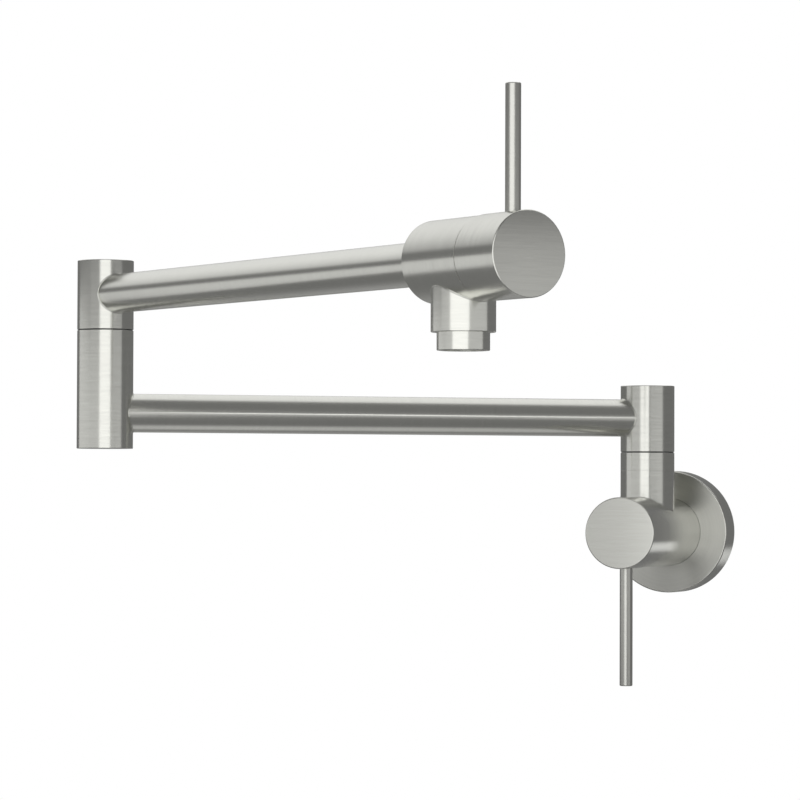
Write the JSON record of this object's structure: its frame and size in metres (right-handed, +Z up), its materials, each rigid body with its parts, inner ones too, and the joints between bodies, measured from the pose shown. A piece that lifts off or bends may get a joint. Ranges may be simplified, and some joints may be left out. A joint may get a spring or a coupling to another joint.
{
  "type": "wall mounted pot filler",
  "caption": "Wall mounted pot filler in brushed steel with a round flange, a folding double jointed arm, a wall valve and a spout valve with lever handles.",
  "frame": {"origin": "on the wall, in the middle of the inlet, under the flange", "axes": "+Y into the wall along the inlet, +Z up along the post, +X to the right of someone who faces the wall"},
  "size_m": [0.3176, 0.4628, 0.2644],
  "materials": {
    "satin_steel": "fine brushed satin, neutral grey",
    "plate_steel": "plain pressed stainless sheet",
    "screw_steel": "plain stainless screw",
    "brass": "turned brass",
    "rubber": "matt black sealing rubber",
    "bearing_plastic": "dark bearing plastic",
    "insert_plastic": "grey moulded plastic",
    "ceramic": "lapped alumina ceramic"
  },
  "bodies": {
    "wall_body": {"mounting_plate": "plate_steel", "flange_gasket": "rubber", "wall_flange": "satin_steel", "flange_screw": "screw_steel", "inlet_adaptor": "brass", "inlet_washer": "rubber", "valve_body": "satin_steel", "wall_seat_seal": "rubber", "wall_fixed_disc": "ceramic", "wall_cartridge": "brass", "wall_cartridge_ring": "rubber", "wall_cartridge_nut": "brass", "post_collar": "satin_steel", "wall_spigot": "brass", "wall_spigot_rings": "rubber", "wall_swivel_washer": "bearing_plastic", "wall_retaining_washer": "plate_steel", "wall_retaining_screw": "screw_steel"},
    "wall_handle": {"wall_knob": "satin_steel", "wall_lever": "satin_steel", "wall_knob_screw": "screw_steel", "wall_stem": "brass", "wall_stem_ring": "rubber", "wall_stem_clip": "screw_steel", "wall_moving_disc": "ceramic"},
    "lower_arm": {"hub_sleeve": "satin_steel", "hub_cap": "satin_steel", "lower_tube": "satin_steel", "elbow_column": "satin_steel", "elbow_foot": "satin_steel", "elbow_spigot": "brass", "elbow_spigot_rings": "rubber", "elbow_swivel_washer": "bearing_plastic", "elbow_retaining_washer": "plate_steel", "elbow_retaining_screw": "screw_steel"},
    "upper_arm": {"elbow_sleeve": "satin_steel", "elbow_cap": "satin_steel", "upper_tube": "satin_steel", "spout_body": "satin_steel", "spout_seat_seal": "rubber", "spout_fixed_disc": "ceramic", "spout_cartridge": "brass", "spout_cartridge_ring": "rubber", "spout_cartridge_nut": "brass", "aerator_washer": "rubber", "flow_regulator": "insert_plastic", "aerator_insert": "insert_plastic", "aerator_housing": "satin_steel"},
    "spout_handle": {"spout_knob": "satin_steel", "spout_lever": "satin_steel", "spout_knob_screw": "screw_steel", "spout_stem": "brass", "spout_stem_ring": "rubber", "spout_stem_clip": "screw_steel", "spout_moving_disc": "ceramic"}
  },
  "joints": [
    {"name": "wall_swivel", "type": "hinge", "parent": "wall_body", "child": "lower_arm", "pos_m": [0, -0.0542, 0.0586], "axis": [0, 0, 1], "range_deg": [-37, 142]},
    {"name": "elbow_swivel", "type": "hinge", "parent": "lower_arm", "child": "upper_arm", "pos_m": [-0.22661, -0.22621, 0.11675], "axis": [0, 0, 1], "range_deg": [-105, 165]},
    {"name": "wall_valve_turn", "type": "hinge", "parent": "wall_body", "child": "wall_handle", "pos_m": [0, -0.0892, 0], "axis": [0, -1, 0], "range_deg": [0, 90]},
    {"name": "spout_valve_turn", "type": "hinge", "parent": "upper_arm", "child": "spout_handle", "pos_m": [0.05512, -0.44005, 0.11675], "axis": [0.7965, -0.6046, 0], "range_deg": [0, 90]}
  ]
}
